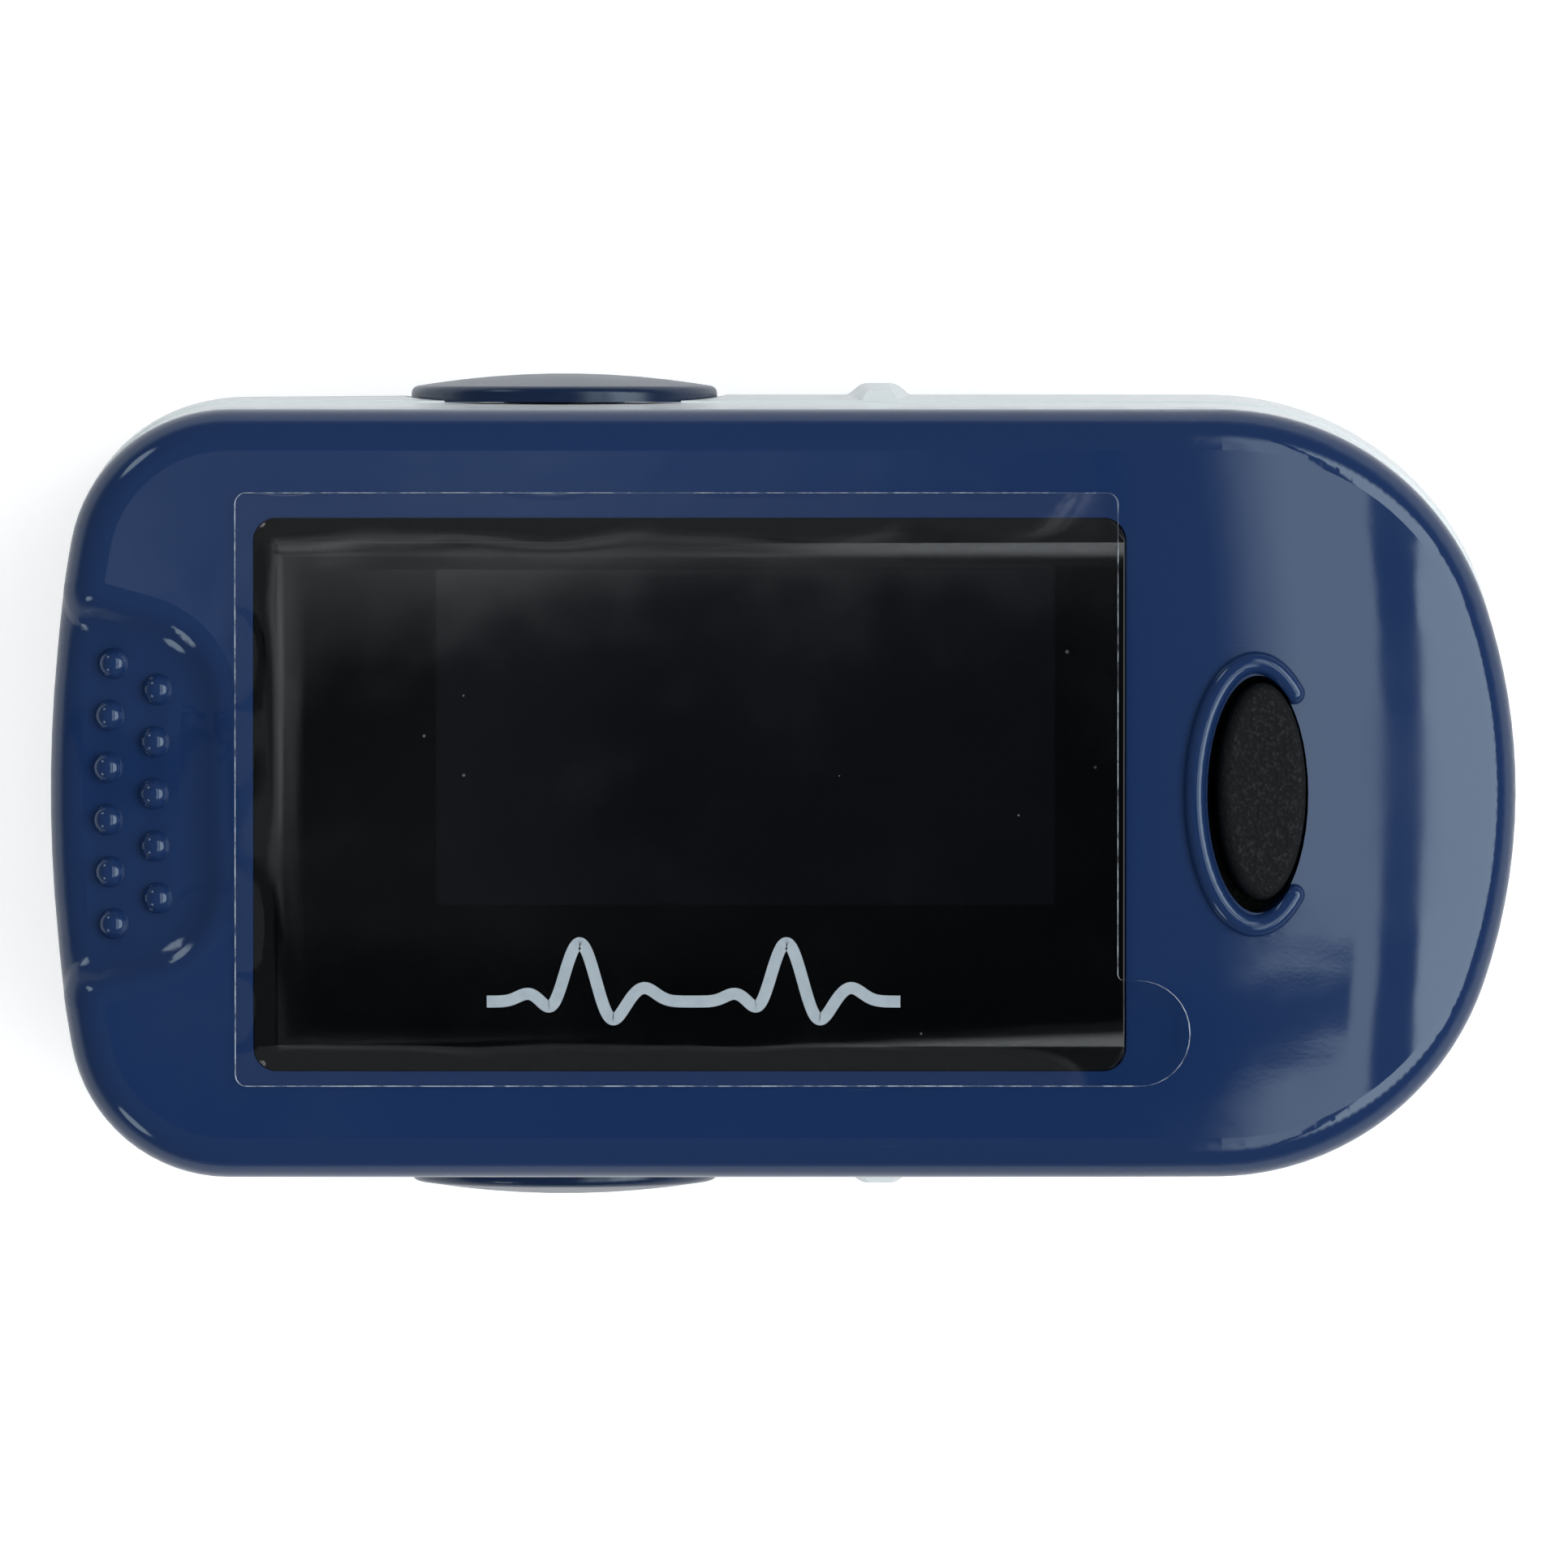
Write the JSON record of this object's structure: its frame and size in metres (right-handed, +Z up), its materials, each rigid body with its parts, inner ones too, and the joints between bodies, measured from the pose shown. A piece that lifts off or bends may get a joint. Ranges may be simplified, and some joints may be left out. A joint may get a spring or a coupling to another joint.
{
  "type": "fingertip pulse oximeter",
  "caption": "Clip-on fingertip pulse oximeter: two sprung jaws on a hinge shaft, display window, oval power button, finger channel and sliding battery door.",
  "frame": {"origin": "middle of the base, on the surface that the lower jaw rests on", "axes": "+X out of the finger mouth along the long axis, +Y across towards the left flank, +Z up through the display"},
  "size_m": [0.0577, 0.0324, 0.032],
  "materials": {
    "shell_blue": "polished moulded plastic",
    "frame_white": "satin moulded plastic",
    "lens_black": "polished smoked acrylic",
    "film_clear": "clear peel-off film",
    "silicone_grey": "soft matte silicone",
    "button_rubber": "fine-grained black rubber",
    "board_green": "solder mask",
    "chip_black": "moulded epoxy",
    "display_grey": "display module",
    "foam_black": "closed-cell foam",
    "ribbon_amber": "polyimide flex",
    "window_clear": "clear window",
    "sensor_white": "moulded optical package",
    "steel": "zinc-plated steel",
    "spring_steel": "drawn spring wire",
    "contact_nickel": "nickel-plated strip",
    "cell_wrap": "printed metal sleeve"
  },
  "bodies": {
    "lower_jaw": {"lower_frame": "frame_white", "lower_finger_pad": "silicone_grey", "sensor_window": "window_clear", "photodiode": "sensor_white", "bottom_shell": "shell_blue", "battery_left": "cell_wrap", "battery_right": "cell_wrap", "contact_springs": "spring_steel", "contact_plates": "contact_nickel", "base_screws": "steel", "hinge_shaft": "steel", "hinge_cap_left": "shell_blue", "hinge_cap_right": "shell_blue", "torsion_spring_left": "spring_steel", "torsion_spring_right": "spring_steel", "jaw_ribbon": "ribbon_amber"},
    "upper_jaw": {"top_shell": "shell_blue", "display_lens": "lens_black", "screen_film": "film_clear", "display_panel": "display_grey", "display_gasket": "foam_black", "display_ribbon": "ribbon_amber", "main_board": "board_green", "board_chips": "chip_black", "tact_switch": "chip_black", "upper_frame": "frame_white", "upper_finger_pad": "silicone_grey", "led_window": "window_clear", "led_emitter": "sensor_white", "top_screws": "steel"},
    "power_button": {"power_button": "button_rubber"},
    "battery_cover": {"battery_cover": "shell_blue"}
  },
  "joints": [
    {"name": "jaw_hinge", "type": "hinge", "parent": "lower_jaw", "child": "upper_jaw", "pos_m": [-0.0087, 0, 0.016], "axis": [0, -1, 0], "range_deg": [0, 18], "stiffness_Nm_per_rad": 0.15, "springref_deg": -22.92, "deforming": ["torsion_spring_left", "torsion_spring_right", "jaw_ribbon"]},
    {"name": "button_press", "type": "slide", "parent": "upper_jaw", "child": "power_button", "axis": [-0.1313, 0, -0.9913], "range_m": [0, 0.0004], "stiffness_N_per_m": 400, "springref_m": -0.0005},
    {"name": "battery_door_slide", "type": "slide", "parent": "lower_jaw", "child": "battery_cover", "axis": [-1, 0, 0], "range_m": [0, 0.05]}
  ]
}
